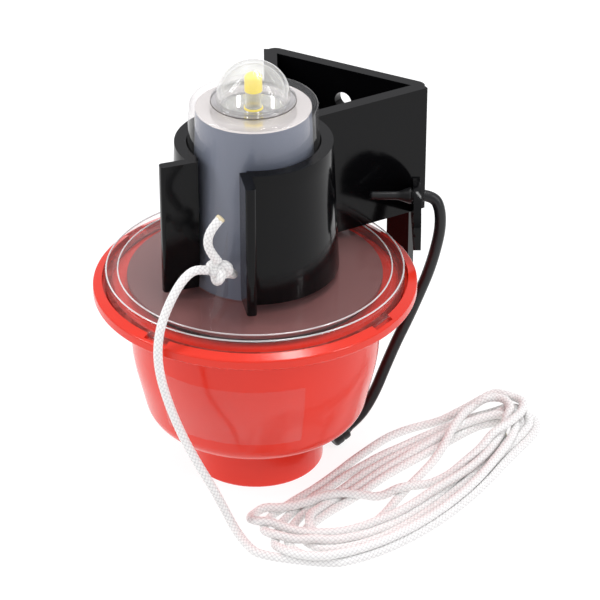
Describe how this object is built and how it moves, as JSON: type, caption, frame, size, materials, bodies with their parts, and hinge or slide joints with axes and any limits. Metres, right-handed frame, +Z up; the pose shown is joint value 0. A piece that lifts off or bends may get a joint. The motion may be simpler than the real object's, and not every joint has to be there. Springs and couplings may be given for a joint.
{
  "type": "emergency position beacon",
  "caption": "Floating position light: red bowl, clear domed tower, black clip bracket with screw plate, rubber strap and white lanyard.",
  "frame": {"origin": "centre of the foot's lower face, on the light's axis", "axes": "+Z up along the light's axis towards the dome, +Y towards the bracket's wall plate, clip mouth at -Y"},
  "size_m": [0.138, 0.1316, 0.1506],
  "materials": {
    "red_plastic": "glossy moulded, slightly translucent",
    "clear_plastic": "clear glossy",
    "bright_metal": "mirror bright",
    "lamp_yellow": "glossy",
    "white_plastic": "satin",
    "grey_plastic": "satin",
    "seal_rubber": "satin",
    "steel": "zinc bright",
    "clear_film": "clear glossy",
    "board_green": "satin",
    "dark_plastic": "satin",
    "cell_jacket": "glossy",
    "brass": "bright",
    "black_plastic": "glossy moulded",
    "black_rubber": "satin",
    "white_braid": "braided"
  },
  "bodies": {
    "light": {"float_bowl": "red_plastic", "clear_cover": "clear_plastic", "dome_lens": "clear_plastic", "dome_collar": "clear_plastic", "reflector": "bright_metal", "led_lamp": "lamp_yellow", "led_holder": "white_plastic", "inner_housing": "grey_plastic", "seal_ring": "seal_rubber", "ballast_weight": "steel", "ballast_screw": "steel", "label_film": "clear_film", "circuit_board": "board_green", "board_screws": "steel", "board_parts": "dark_plastic", "tilt_switch_case": "steel", "battery_cells": "cell_jacket", "battery_holder": "white_plastic", "contact_plates_top": "brass", "contact_plates_low": "brass", "contact_springs": "steel", "lanyard_knot": "white_braid", "lanyard_tail": "white_braid", "lanyard_lead": "white_braid", "lanyard_hank": "white_braid"},
    "bracket": {"bracket": "black_plastic", "strap_root": "black_rubber"},
    "strap": {"retaining_strap": "black_rubber", "strap_knob": "black_rubber"},
    "tilt_ball": {"tilt_ball": "steel"}
  },
  "joints": [
    {"name": "bracket_slide", "type": "slide", "parent": "light", "child": "bracket", "axis": [0, 0, 1], "range_m": [0, 0.062]},
    {"name": "strap_swing", "type": "hinge", "parent": "bracket", "child": "strap", "pos_m": [0.0397, 0.049, 0.0892], "axis": [0.787, -0.617, 0], "range_deg": [0, 57]},
    {"name": "tilt_ball_roll", "type": "slide", "parent": "light", "child": "tilt_ball", "axis": [0, 0, 1], "range_m": [0, 0.0038]}
  ],
  "couplings": [
    {"joint": "strap_swing", "follows": "bracket_slide", "rad_per_m": 15.7}
  ]
}
